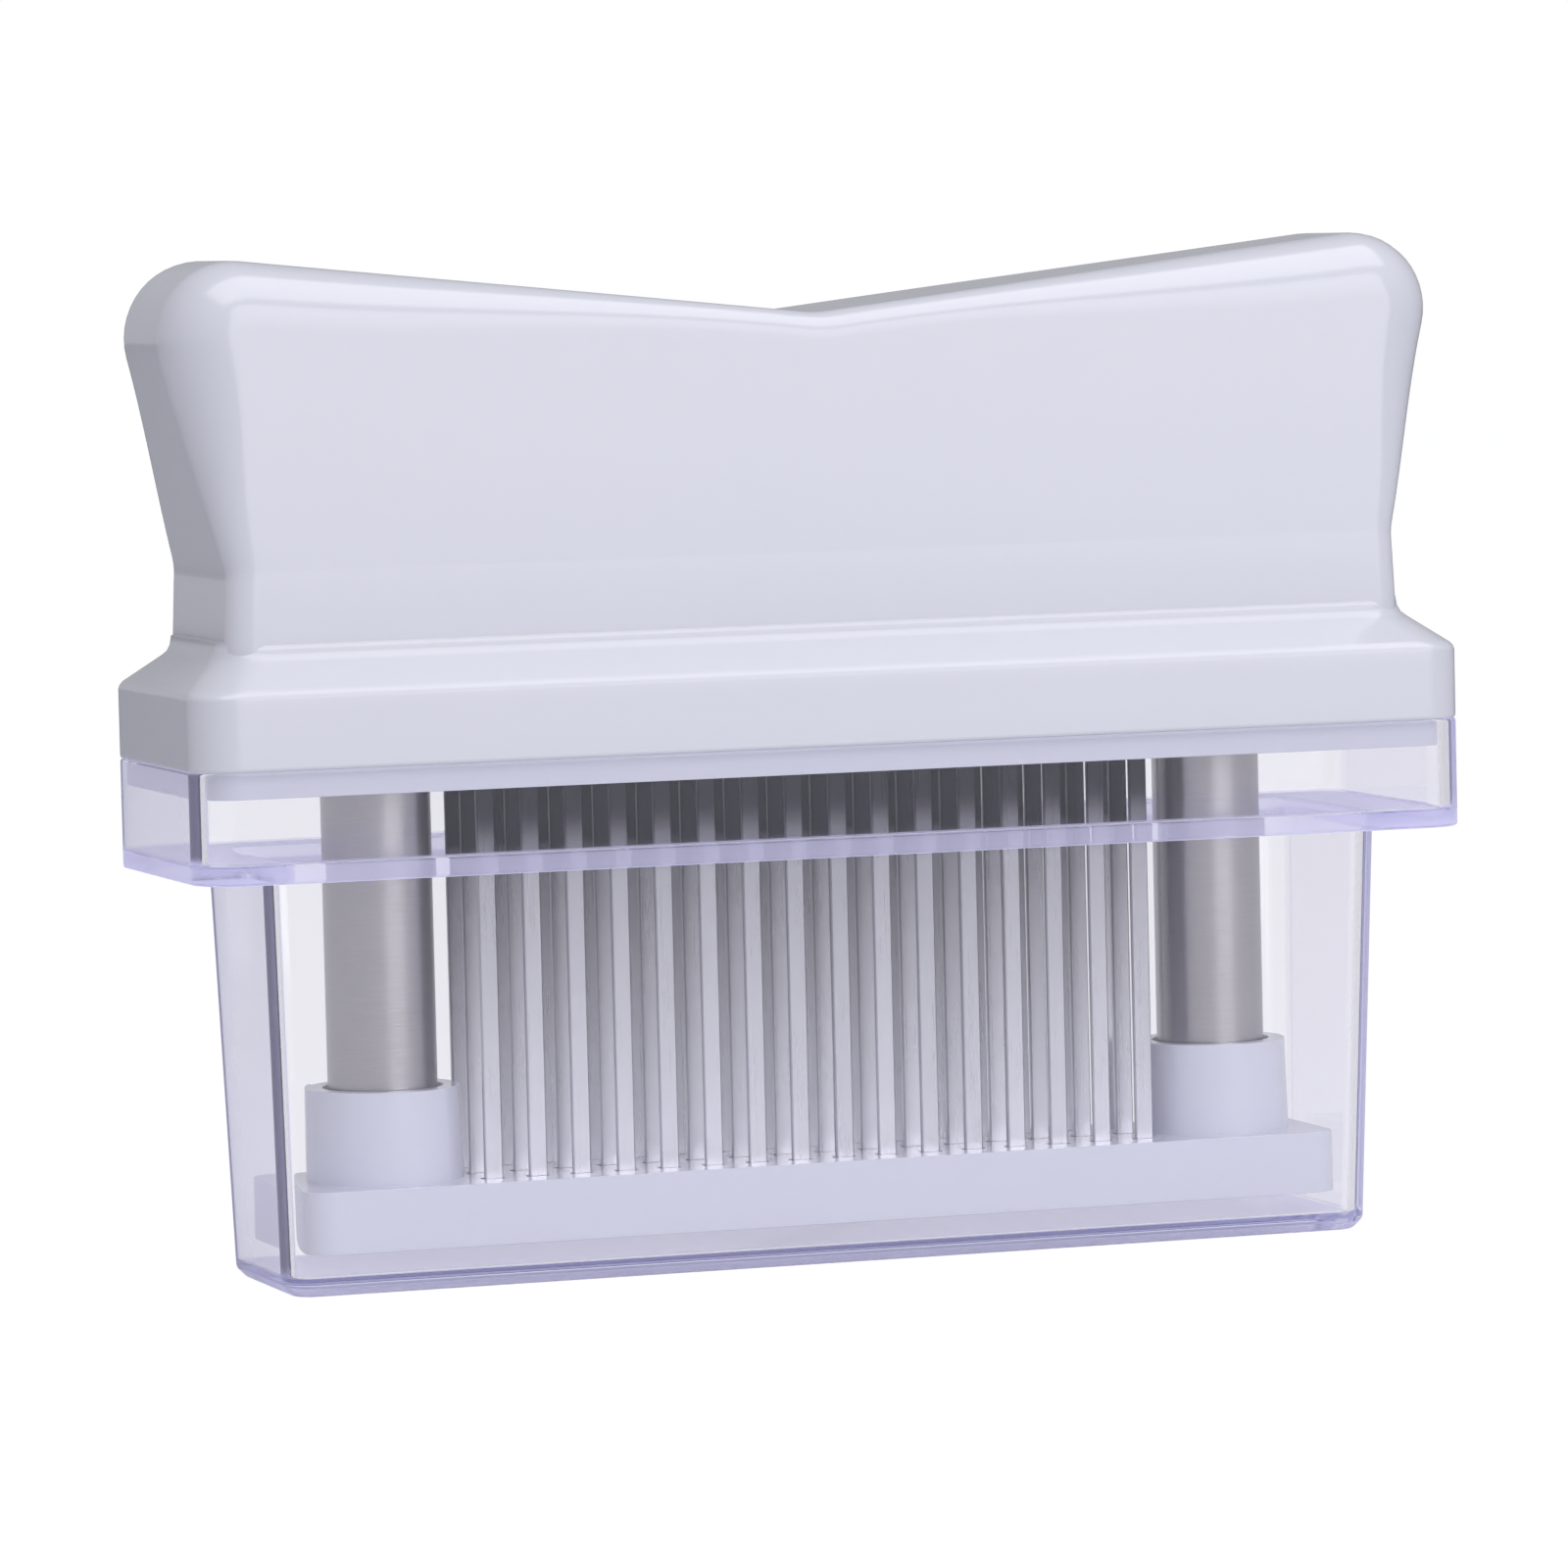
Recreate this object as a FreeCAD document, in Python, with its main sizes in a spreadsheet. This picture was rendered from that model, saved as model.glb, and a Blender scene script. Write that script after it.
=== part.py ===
# Blade meat tenderizer: a white moulded handle with flared horns carries forty-eight flat steel knives.
# A slotted foot rides on two steel columns that slide up into the handle against springs held inside
# them, so a push on the handle drives the knives through the foot. A clear cover slips over the knives,
# seats under the handle's flange and is what the tool stands on.
# Frame: millimetres, +Z up, Z = 0 on the table under the cover, X along the handle, Y front to back.
import FreeCAD, Part

import math
import os

import Sketcher

from FreeCAD import Vector

doc = FreeCAD.newDocument("blade_tenderizer")

# Driving sizes in millimetres and degrees; a text that starts with an equals sign follows the others
SIZES = [
    ("flange_length", 146.0),
    ("flange_depth", 38.4),
    ("flange_corner", 5.0),
    ("flange_height", 8.2),
    ("shoulder_rise", 4.1),
    ("shoulder_tuck", 0.5),
    ("body_end_step", 4.6),
    ("body_side_step", 5.8),
    ("body_length", "=flange_length - 2 * body_end_step"),
    ("body_depth", "=flange_depth - 2 * body_side_step"),
    ("body_round", 4.6),
    ("waist_tuck", 0.7),
    ("waist_length", "=body_length - 2 * waist_tuck"),
    ("waist_rise", 21.0),
    ("waist_round", 7.0),
    ("horn_flare", 8.1),
    ("horn_span", "=waist_length + 2 * horn_flare"),
    ("horn_rise", 55.9),
    ("horn_round", 8.4),
    ("dip_rise", 47.0),
    ("dip_round", 14.0),
    ("shell_wall", 2.4),
    ("horn_end_wall", 7.2),
    ("horn_top_wall", 7.7),
    ("plate_thickness", 6.0),
    ("plug_drop", 3.0),
    ("plug_clearance", 0.2),
    ("rim_wall", 1.9),
    ("cover_height", 57.4),
    ("rim_height", 12.1),
    ("ledge_thickness", 2.0),
    ("cover_wall", 1.6),
    ("cover_floor", 2.0),
    ("box_end_step", 8.8),
    ("box_side_step", 4.9),
    ("box_end_draft", 1.3),
    ("box_side_draft", 1.8),
    ("box_top_length", "=flange_length - 2 * box_end_step"),
    ("box_top_depth", "=flange_depth - 2 * box_side_step"),
    ("box_base_length", "=box_top_length - 2 * box_end_draft"),
    ("box_base_depth", "=box_top_depth - 2 * box_side_draft"),
    ("box_corner", 3.5),
    ("base_chamfer", 1.2),
    ("foot_end_gap", 3.1),
    ("foot_side_gap", 2.0),
    ("foot_length", "=box_base_length - 2 * foot_end_gap"),
    ("foot_depth", "=box_base_depth - 2 * foot_side_gap"),
    ("foot_lift", 4.4),
    ("foot_thickness", 6.8),
    ("foot_corner", 3.0),
    ("boss_height", 10.2),
    ("boss_diameter", 17.3),
    ("boss_draft", 1.6),
    ("socket_floor", 3.6),
    ("countersink", 0.6),
    ("column_inset", 11.3),
    ("column_spacing", "=foot_length - 2 * column_inset"),
    ("column_diameter", 12.0),
    ("column_wall", 0.8),
    ("column_stub", 3.6),
    ("column_top", "=cover_height - plug_drop + plate_thickness + column_stub"),
    ("column_clearance", 0.08),
    ("ring_thickness", 1.0),
    ("ring_groove_depth", 0.4),
    ("ring_diameter", 14.2),
    ("ring_gap", 3.0),
    ("tower_wall", 2.0),
    ("tower_clearance", 0.3),
    ("tower_lift", 6.2),
    ("tower_base", "=cover_height - plug_drop + plate_thickness + tower_lift"),
    ("tower_height", 38.0),
    ("tower_roof", "=tower_base + tower_height"),
    ("spigot_diameter", 6.4),
    ("spigot_length", 7.0),
    ("spring_wire", 1.0),
    ("spring_diameter", 9.4),
    ("spring_turns", 14),
    ("spring_end_rise", 1.45),
    ("knife_columns", 16),
    ("knife_rows", 3),
    ("knife_end_gap", 10.55),
    ("knife_pitch", "=(column_spacing - 2 * knife_end_gap) / (knife_columns - 1)"),
    ("row_pitch", 5.96),
    ("knife_width", 2.0),
    ("knife_thickness", 0.7),
    ("knife_tip_height", 6.6),
    ("knife_bevel", 1.6),
    ("knife_head_width", 3.2),
    ("knife_head_height", 1.6),
    ("knife_fit", 0.06),
    ("foot_slot_clearance", 0.3),
    ("clamp_end_margin", 2.55),
    ("clamp_side_gap", 4.4),
    ("clamp_length", "=column_spacing - 2 * knife_end_gap + 2 * clamp_end_margin"),
    ("clamp_depth", "=body_depth - 2 * clamp_side_gap"),
    ("clamp_thickness", 2.6),
    ("rib_spacing", 40.0),
    ("rib_thickness", 1.6),
    ("post_end_inset", 7.4),
    ("post_side_inset", 5.4),
    ("post_spacing", "=body_length - 2 * post_end_inset"),
    ("post_row", "=body_depth - 2 * post_side_inset"),
    ("post_diameter", 7.0),
    ("screw_diameter", 3.0),
    ("screw_head_diameter", 5.6),
    ("screw_head_height", 2.2),
    ("screw_length", 11.0),
]

sheet = doc.addObject("Spreadsheet::Sheet", "Sizes")
for line_number, (alias, size) in enumerate(SIZES, start=1):
    sheet.set(f"A{line_number}", alias)
    sheet.set(f"B{line_number}", str(size))
    sheet.setAlias(f"B{line_number}", alias)
doc.recompute()


def size(alias):
    """Value of one driving size."""
    return float(sheet.get(alias))


def formula(text):
    """Turn {alias} marks into references to the sheet."""
    return text.replace("{", "Sizes.").replace("}", "")


def value(text):
    """Work out a formula of {alias} marks now, for the first guess of a sketch."""
    return float(FreeCAD.Units.Quantity(str(doc.getObject("Sizes").evalExpression(formula(text)))).Value)


def bind(target, prop, text):
    """Tie one property of an object to a formula on the sheet."""
    target.setExpression(prop, formula(text))


def new_body(label, height="0", across="0", along="0"):
    """An empty body placed in the common frame by formulas for X, Y and Z."""
    body = doc.addObject("PartDesign::Body", label)
    body.Label = label
    bind(body, "Placement.Base.x", along)
    bind(body, "Placement.Base.y", across)
    bind(body, "Placement.Base.z", height)
    return body


def plane_sketch(body, role, name, lift="0"):
    """A sketch on one of the body's own origin planes, lifted off it by a formula."""
    plane = [f for f in body.Origin.OriginFeatures if f.Role == role][0]
    sketch = body.newObject("Sketcher::SketchObject", name)
    sketch.AttachmentSupport = [(plane, "")]
    sketch.MapMode = "FlatFace"
    bind(sketch, "AttachmentOffset.Base.z", lift)
    return sketch


def distance(sketch, kind, ends, name, text):
    """A named sketch dimension bound to a formula."""
    index = sketch.addConstraint(Sketcher.Constraint(kind, *ends, abs(value(text))))
    sketch.renameConstraint(index, name)
    sketch.setExpression(f"Constraints.{name}", formula(text))


def polygon(sketch, corners):
    """A closed outline whose corners are (x formula, y formula) pairs."""
    points = [Vector(value(x), value(y), 0) for x, y in corners]
    count = len(points)
    for i in range(count):
        sketch.addGeometry(Part.LineSegment(points[i], points[(i + 1) % count]), False)
    for i in range(count):
        sketch.addConstraint(Sketcher.Constraint("Coincident", i, 2, (i + 1) % count, 1))
    for i, (x, y) in enumerate(corners):
        for kind, axis_text, coordinate in (("DistanceX", x, points[i].x), ("DistanceY", y, points[i].y)):
            if abs(coordinate) < 1e-9:
                on_axis = -2 if kind == "DistanceX" else -1
                sketch.addConstraint(Sketcher.Constraint("PointOnObject", i, 1, on_axis))
                continue
            index = sketch.addConstraint(Sketcher.Constraint(kind, -1, 1, i, 1, coordinate))
            name = f"{'across' if kind == 'DistanceX' else 'up'}_{i}"
            sketch.renameConstraint(index, name)
            sketch.setExpression(f"Constraints.{name}", formula(axis_text))


def rectangle(sketch, length, depth, x="0", y="0"):
    """A rectangle centred on a point."""
    polygon(sketch, [(f"({x}) - ({length}) / 2", f"({y}) - ({depth}) / 2"),
                     (f"({x}) + ({length}) / 2", f"({y}) - ({depth}) / 2"),
                     (f"({x}) + ({length}) / 2", f"({y}) + ({depth}) / 2"),
                     (f"({x}) - ({length}) / 2", f"({y}) + ({depth}) / 2")])


def rounded_rectangle(sketch, length, depth, corner):
    """A centred rectangle with four equal corner arcs."""
    half_l = value(length) / 2
    half_d = value(depth) / 2
    r = value(corner)
    inner_l = half_l - r
    inner_d = half_d - r
    sides = [((-inner_l, -half_d), (inner_l, -half_d)), ((half_l, -inner_d), (half_l, inner_d)),
             ((inner_l, half_d), (-inner_l, half_d)), ((-half_l, inner_d), (-half_l, -inner_d))]
    for start, end in sides:
        sketch.addGeometry(Part.LineSegment(Vector(*start, 0), Vector(*end, 0)), False)
    centres = [(inner_l, -inner_d, -90), (inner_l, inner_d, 0), (-inner_l, inner_d, 90), (-inner_l, -inner_d, 180)]
    for x, y, start in centres:
        circle = Part.Circle(Vector(x, y, 0), Vector(0, 0, 1), r)
        arc = Part.ArcOfCircle(circle, math.radians(start), math.radians(start + 90))
        sketch.addGeometry(arc, False)
    for i in range(4):
        sketch.addConstraint(Sketcher.Constraint("Tangent", i, 2, 4 + i, 1))
        sketch.addConstraint(Sketcher.Constraint("Tangent", 4 + i, 2, (i + 1) % 4, 1))
    for i in range(1, 4):
        sketch.addConstraint(Sketcher.Constraint("Equal", 4, 4 + i))
    sketch.addConstraint(Sketcher.Constraint("Horizontal", 0))
    sketch.addConstraint(Sketcher.Constraint("Vertical", 1))
    sketch.addConstraint(Sketcher.Constraint("Symmetric", 4, 3, 6, 3, -1, 1))
    distance(sketch, "Radius", (4,), "corner", corner)
    distance(sketch, "DistanceX", (-1, 1, 1, 1), "half_length", f"({length}) / 2")
    distance(sketch, "DistanceY", (-1, 1, 2, 1), "half_depth", f"({depth}) / 2")


def circles(sketch, diameter, centres):
    """Equal circles at (x formula, y formula) centres."""
    for i, (x, y) in enumerate(centres):
        centre = Vector(value(x), value(y), 0)
        sketch.addGeometry(Part.Circle(centre, Vector(0, 0, 1), value(diameter) / 2), False)
        distance(sketch, "Diameter", (i,), f"diameter_{i}", diameter)
        for kind, text, coordinate in (("DistanceX", x, centre.x), ("DistanceY", y, centre.y)):
            if abs(coordinate) < 1e-9:
                on_axis = -2 if kind == "DistanceX" else -1
                sketch.addConstraint(Sketcher.Constraint("PointOnObject", i, 3, on_axis))
                continue
            index = sketch.addConstraint(Sketcher.Constraint(kind, -1, 1, i, 3, coordinate))
            name = f"{'across' if kind == 'DistanceX' else 'up'}_{i}"
            sketch.renameConstraint(index, name)
            sketch.setExpression(f"Constraints.{name}", formula(text))


def pad(body, sketch, name, length, midplane=False, reverse=False, taper=None):
    feature = body.newObject("PartDesign::Pad", name)
    feature.Profile = sketch
    bind(feature, "Length", length)
    feature.Midplane = midplane
    feature.Reversed = reverse
    if taper:
        bind(feature, "TaperAngle", taper)
    sketch.Visibility = False
    doc.recompute()
    return feature


def pocket(body, sketch, name, length, midplane=False, reverse=False):
    """A cut; the volume has to fall, so a cut that points away from the solid is noticed."""
    before = body.Shape.Volume
    feature = body.newObject("PartDesign::Pocket", name)
    feature.Profile = sketch
    bind(feature, "Length", length)
    feature.Midplane = midplane
    feature.Reversed = reverse
    sketch.Visibility = False
    doc.recompute()
    if body.Shape.Volume >= before - 1e-6:
        raise RuntimeError(f"{name} removed nothing")
    return feature


def loft(body, kind, name, lower, upper):
    feature = body.newObject(f"PartDesign::{kind}", name)
    feature.Profile = lower
    feature.Sections = [(upper, [""])]
    feature.Ruled = True
    doc.recompute()
    return feature


def fillet(body, base, name, radius, choose):
    """Round the edges of the base feature that the test picks."""
    edges = [f"Edge{i}" for i, edge in enumerate(base.Shape.Edges, start=1) if choose(edge)]
    feature = body.newObject("PartDesign::Fillet", name)
    feature.Base = (base, edges)
    bind(feature, "Radius", radius)
    doc.recompute()
    return feature


def runs_front_to_back(edge, x, z, tolerance=0.05):
    """True for a straight edge along Y through the given X and Z."""
    first, last = edge.Vertexes[0].Point, edge.Vertexes[-1].Point
    along_y = abs(first.x - last.x) < tolerance and abs(first.z - last.z) < tolerance
    return along_y and abs(abs(first.x) - abs(x)) < tolerance and abs(first.z - z) < tolerance


COLUMN_CENTRES = [("-{column_spacing} / 2", "0"), ("{column_spacing} / 2", "0")]
POST_CENTRES = [(f"{sx}{{post_spacing}} / 2", f"{sy}{{post_row}} / 2") for sx in ("-", "") for sy in ("-", "")]
PLUG_LENGTH = "({flange_length} - 2 * {rim_wall} - 2 * {plug_clearance})"
PLUG_DEPTH = "({flange_depth} - 2 * {rim_wall} - 2 * {plug_clearance})"
PLUG_CORNER = "({flange_corner} - {rim_wall} - {plug_clearance})"
PLATE_BASE = "({cover_height} - {plug_drop})"
PLATE_TOP = "({cover_height} - {plug_drop} + {plate_thickness})"
HEAD_TOP = f"({PLATE_TOP} + {{knife_head_height}})"
CLAMP_TOP = f"({HEAD_TOP} + {{clamp_thickness}})"
SOCKET_BASE = "({foot_lift} + {socket_floor})"


def build_handle():
    """Moulded shell: flange, sloped shoulder, flared body, and what hangs inside it."""
    body = new_body("handle_shell", "{cover_height}")
    outline = plane_sketch(body, "XZ_Plane", "body_outline")
    neck = "{flange_height} - {shoulder_tuck}"
    polygon(outline, [("-{body_length} / 2", neck), ("{body_length} / 2", neck),
                      ("{waist_length} / 2", "{waist_rise}"), ("{horn_span} / 2", "{horn_rise}"),
                      ("0", "{dip_rise}"), ("-{horn_span} / 2", "{horn_rise}"),
                      ("-{waist_length} / 2", "{waist_rise}")])
    grip = pad(body, outline, "grip", "{body_depth}", midplane=True)
    horns = fillet(body, grip, "horn_rounds", "{horn_round}",
                   lambda e: runs_front_to_back(e, size("horn_span") / 2, size("horn_rise")))
    waist = fillet(body, horns, "waist_rounds", "{waist_round}",
                   lambda e: runs_front_to_back(e, size("waist_length") / 2, size("waist_rise")))
    dip = fillet(body, waist, "dip_round_edge", "{dip_round}",
                 lambda e: runs_front_to_back(e, 0, size("dip_rise")))
    face_y = size("body_depth") / 2
    neck_z = size("flange_height")
    fillet(body, dip, "grip_rounds", "{body_round}",
           lambda e: all(abs(abs(v.Y) - face_y) < 0.01 for v in e.Vertexes)
           and max(v.Z for v in e.Vertexes) > neck_z + 0.1
           and abs(e.Vertexes[0].Y - e.Vertexes[-1].Y) < 0.01)
    flange = plane_sketch(body, "XY_Plane", "flange_outline")
    rounded_rectangle(flange, "{flange_length}", "{flange_depth}", "{flange_corner}")
    pad(body, flange, "flange", "{flange_height}")
    lower = plane_sketch(body, "XY_Plane", "shoulder_foot", "{flange_height}")
    rounded_rectangle(lower, "{flange_length}", "{flange_depth}", "{flange_corner}")
    upper = plane_sketch(body, "XY_Plane", "shoulder_head", "{flange_height} + {shoulder_rise}")
    rounded_rectangle(upper, "{body_length} - 2 * {shoulder_tuck}", "{body_depth} - 2 * {shoulder_tuck}",
                      "{body_round}")
    loft(body, "AdditiveLoft", "shoulder", lower, upper)

    # Recess in the flange that the knife plate fits
    recess = plane_sketch(body, "XY_Plane", "recess_outline")
    rounded_rectangle(recess, f"{PLUG_LENGTH} + 2 * {{plug_clearance}}", f"{PLUG_DEPTH} + 2 * {{plug_clearance}}",
                      f"{PLUG_CORNER} + {{plug_clearance}}")
    pocket(body, recess, "plate_recess", "{flange_height} - {shell_wall}", reverse=True)
    cavity = plane_sketch(body, "XZ_Plane", "cavity_outline")
    polygon(cavity, [("-{waist_length} / 2 + {shell_wall}", "{flange_height} - {shell_wall} - 1"),
                     ("{waist_length} / 2 - {shell_wall}", "{flange_height} - {shell_wall} - 1"),
                     ("{waist_length} / 2 - {shell_wall}", "{waist_rise}"),
                     ("{horn_span} / 2 - {horn_end_wall}", "{horn_rise} - {horn_top_wall}"),
                     ("0", "{dip_rise} - {shell_wall}"),
                     ("-{horn_span} / 2 + {horn_end_wall}", "{horn_rise} - {horn_top_wall}"),
                     ("-{waist_length} / 2 + {shell_wall}", "{waist_rise}")])
    pocket(body, cavity, "cavity", "{body_depth} - 2 * {shell_wall}", midplane=True)

    # Towers that the columns rise into, cross ribs that press the clamp, and screw posts
    roof = "{tower_roof} - {cover_height}"
    towers = plane_sketch(body, "XY_Plane", "tower_outline", "{tower_base} - {cover_height}")
    circles(towers, "{ring_diameter} + 2 * {tower_clearance} + 2 * {tower_wall}", COLUMN_CENTRES)
    pad(body, towers, "towers", "{tower_roof} + {shell_wall} - {tower_base}")
    bores = plane_sketch(body, "XY_Plane", "tower_bore_outline", "{tower_base} - {cover_height}")
    circles(bores, "{ring_diameter} + 2 * {tower_clearance}", COLUMN_CENTRES)
    pocket(body, bores, "tower_bores", "{tower_roof} - {tower_base}", reverse=True)
    spigots = plane_sketch(body, "XY_Plane", "spigot_outline", f"{roof} - {{spigot_length}}")
    circles(spigots, "{spigot_diameter}", COLUMN_CENTRES)
    pad(body, spigots, "spigots", "{spigot_length} + 1")
    for side, name in (("-", "left"), ("", "right")):
        rib = plane_sketch(body, "YZ_Plane", f"{name}_rib_outline", f"{side}{{rib_spacing}} / 2")
        polygon(rib, [("-{body_depth} / 2 + {shell_wall} / 2", f"{CLAMP_TOP} - {{cover_height}}"),
                      ("{body_depth} / 2 - {shell_wall} / 2", f"{CLAMP_TOP} - {{cover_height}}"),
                      ("{body_depth} / 2 - {shell_wall} / 2", "{dip_rise} - {shell_wall} / 2"),
                      ("-{body_depth} / 2 + {shell_wall} / 2", "{dip_rise} - {shell_wall} / 2")])
        pad(body, rib, f"{name}_rib", "{rib_thickness}", midplane=True)
    posts = plane_sketch(body, "XY_Plane", "post_outline", f"{PLATE_TOP} - {{cover_height}}")
    circles(posts, "{post_diameter}", POST_CENTRES)
    pad(body, posts, "screw_posts", "{waist_rise}")
    pilots = plane_sketch(body, "XY_Plane", "pilot_outline", f"{PLATE_TOP} - {{cover_height}}")
    circles(pilots, "{screw_diameter}", POST_CENTRES)
    pocket(body, pilots, "screw_pilots", "{screw_length}", reverse=True)
    return body


def build_knife_plate():
    """Plate that closes the handle, guides the columns and holds the knives."""
    body = new_body("knife_plate", PLATE_BASE)
    outline = plane_sketch(body, "XY_Plane", "plate_outline")
    rounded_rectangle(outline, PLUG_LENGTH, PLUG_DEPTH, PLUG_CORNER)
    pad(body, outline, "plate", "{plate_thickness}")
    bores = plane_sketch(body, "XY_Plane", "bore_outline")
    circles(bores, "{column_diameter} + 2 * {column_clearance}", COLUMN_CENTRES)
    pocket(body, bores, "column_bores", "{plate_thickness}", reverse=True)
    screws = plane_sketch(body, "XY_Plane", "screw_hole_outline")
    circles(screws, "{screw_diameter}", POST_CENTRES)
    pocket(body, screws, "screw_holes", "{plate_thickness}", reverse=True)
    heads = plane_sketch(body, "XY_Plane", "screw_head_outline")
    circles(heads, "{screw_head_diameter} + 2 * {plug_clearance}", POST_CENTRES)
    pocket(body, heads, "screw_head_seats", "{screw_head_height} + {plug_clearance}", reverse=True)
    slot_rows(body, "{knife_width} + 2 * {knife_fit}", "{knife_thickness} + 2 * {knife_fit}", "{plate_thickness}")
    return body


def slot_rows(body, width, depth, thickness):
    """Rows of through slots, each row one slot repeated along X."""
    rows = int(size("knife_rows"))
    for row in range(rows):
        slot = plane_sketch(body, "XY_Plane", f"slot_{row + 1}_outline")
        rectangle(slot, width, depth, "-({knife_columns} - 1) * {knife_pitch} / 2",
                  f"({row} - ({{knife_rows}} - 1) / 2) * {{row_pitch}}")
        first = pocket(body, slot, f"slot_{row + 1}", thickness, reverse=True)
        pattern = body.newObject("PartDesign::LinearPattern", f"slot_row_{row + 1}")
        pattern.Originals = [first]
        pattern.Direction = (slot, ["H_Axis"])
        bind(pattern, "Length", "({knife_columns} - 1) * {knife_pitch}")
        bind(pattern, "Occurrences", "{knife_columns}")
        body.Tip = pattern
        doc.recompute()


def build_clamp():
    """Bar that lies on the knife heads and keeps them down."""
    body = new_body("knife_clamp", HEAD_TOP)
    outline = plane_sketch(body, "XY_Plane", "clamp_outline")
    rounded_rectangle(outline, "{clamp_length}", "{clamp_depth}", "{knife_head_height}")
    pad(body, outline, "bar", "{clamp_thickness}")
    return body


def build_knife(label, column, row):
    """Flat strip with a tee head on the plate and a slanted ground tip in the foot's slot."""
    along = f"({column} - ({{knife_columns}} - 1) / 2) * {{knife_pitch}}"
    across = f"({row} - ({{knife_rows}} - 1) / 2) * {{row_pitch}}"
    body = new_body(label, "{knife_tip_height}", across, along)
    outline = plane_sketch(body, "XZ_Plane", "knife_outline")
    shoulder = f"{PLATE_TOP} - {{knife_tip_height}}"
    polygon(outline, [("-{knife_width} / 2", "{knife_bevel}"), ("{knife_width} / 2", "0"),
                      ("{knife_width} / 2", shoulder), ("{knife_head_width} / 2", shoulder),
                      ("{knife_head_width} / 2", f"{shoulder} + {{knife_head_height}}"),
                      ("-{knife_head_width} / 2", f"{shoulder} + {{knife_head_height}}"),
                      ("-{knife_head_width} / 2", shoulder), ("-{knife_width} / 2", shoulder)])
    pad(body, outline, "strip", "{knife_thickness}", midplane=True)
    return body


def build_foot():
    """Slotted foot plate with two drafted bosses that the columns are pressed into."""
    body = new_body("foot", "{foot_lift}")
    outline = plane_sketch(body, "XY_Plane", "foot_outline")
    rounded_rectangle(outline, "{foot_length}", "{foot_depth}", "{foot_corner}")
    pad(body, outline, "plate", "{foot_thickness}")
    bosses = plane_sketch(body, "XY_Plane", "boss_outline", "{foot_thickness}")
    circles(bosses, "{boss_diameter}", COLUMN_CENTRES)
    pad(body, bosses, "bosses", "{boss_height}", taper="-{boss_draft}")
    sockets = plane_sketch(body, "XY_Plane", "socket_outline", "{socket_floor}")
    circles(sockets, "{column_diameter}", COLUMN_CENTRES)
    pocket(body, sockets, "sockets", "{foot_thickness} + {boss_height} - {socket_floor}", reverse=True)
    sinks = plane_sketch(body, "XY_Plane", "countersink_outline",
                         "{foot_thickness} + {boss_height} - {countersink}")
    circles(sinks, "{column_diameter} + 2 * {countersink}", COLUMN_CENTRES)
    pocket(body, sinks, "countersinks", "{countersink}", reverse=True)
    slot_rows(body, "{knife_width} + 2 * {foot_slot_clearance}",
              "{knife_thickness} + 2 * {foot_slot_clearance}", "{foot_thickness}")
    return body


def build_column(label, side):
    """Steel tube from the boss socket up through the knife plate, grooved for its stop ring."""
    body = new_body(label, SOCKET_BASE, "0", f"{side}{{column_spacing}} / 2")
    outline = plane_sketch(body, "XY_Plane", "tube_outline")
    circles(outline, "{column_diameter}", [("0", "0")])
    pad(body, outline, "tube", f"{{column_top}} - {SOCKET_BASE}")
    bore = plane_sketch(body, "XY_Plane", "bore_outline")
    circles(bore, "{column_diameter} - 2 * {column_wall}", [("0", "0")])
    pocket(body, bore, "bore", f"{{column_top}} - {SOCKET_BASE}", reverse=True)
    groove = plane_sketch(body, "XY_Plane", "groove_outline", f"{PLATE_TOP} - {SOCKET_BASE}")
    circles(groove, "{column_diameter} + 1", [("0", "0")])
    inner = Part.Circle(Vector(0, 0, 0), Vector(0, 0, 1), size("column_diameter") / 2 - size("ring_groove_depth"))
    groove.addGeometry(inner, False)
    groove.addConstraint(Sketcher.Constraint("Coincident", 1, 3, 0, 3))
    distance(groove, "Diameter", (1,), "groove_floor", "{column_diameter} - 2 * {ring_groove_depth}")
    pocket(body, groove, "ring_groove", "{ring_thickness}", reverse=True)
    return body


def build_stop_ring(label, side):
    """Open snap ring in the column's groove; it rests on the knife plate and stops the foot's fall."""
    body = new_body(label, PLATE_TOP, "0", f"{side}{{column_spacing}} / 2")
    outline = plane_sketch(body, "XY_Plane", "ring_outline")
    circles(outline, "{ring_diameter}", [("0", "0")])
    pad(body, outline, "ring", "{ring_thickness}")
    bore = plane_sketch(body, "XY_Plane", "ring_bore_outline")
    circles(bore, "{column_diameter} - 2 * {ring_groove_depth}", [("0", "0")])
    pocket(body, bore, "ring_bore", "{ring_thickness}", reverse=True)
    mouth = plane_sketch(body, "XY_Plane", "mouth_outline")
    rectangle(mouth, "{ring_gap}", "{ring_diameter}", "0", "{ring_diameter} / 2")
    pocket(body, mouth, "ring_mouth", "{ring_thickness}", reverse=True)
    return body


def arc_middle(first, way, last):
    """Middle point of the arc that leaves the first point along a way and ends at the last."""
    chord = last - first
    inward = way.cross(chord).normalize().cross(way)
    radius = chord.dot(chord) / (2 * chord.dot(inward))
    centre = first + inward * radius
    return centre + ((first + last) * 0.5 - centre).normalize() * abs(radius)


def biarc(start, start_way, end, end_way):
    """Two arcs from start to end, tangent to both ways and to each other."""
    gap = end - start
    a = 2 * (1 - start_way.dot(end_way))
    b = 2 * gap.dot(start_way + end_way)
    c = -gap.dot(gap)
    reach = (-b + math.sqrt(b * b - 4 * a * c)) / (2 * a)
    meet = (start + start_way * reach + end - end_way * reach) * 0.5
    return [Part.Arc(start, arc_middle(start, start_way, meet), meet).toShape(),
            Part.Arc(meet, arc_middle(end, end_way * -1, meet), end).toShape()]


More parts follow.
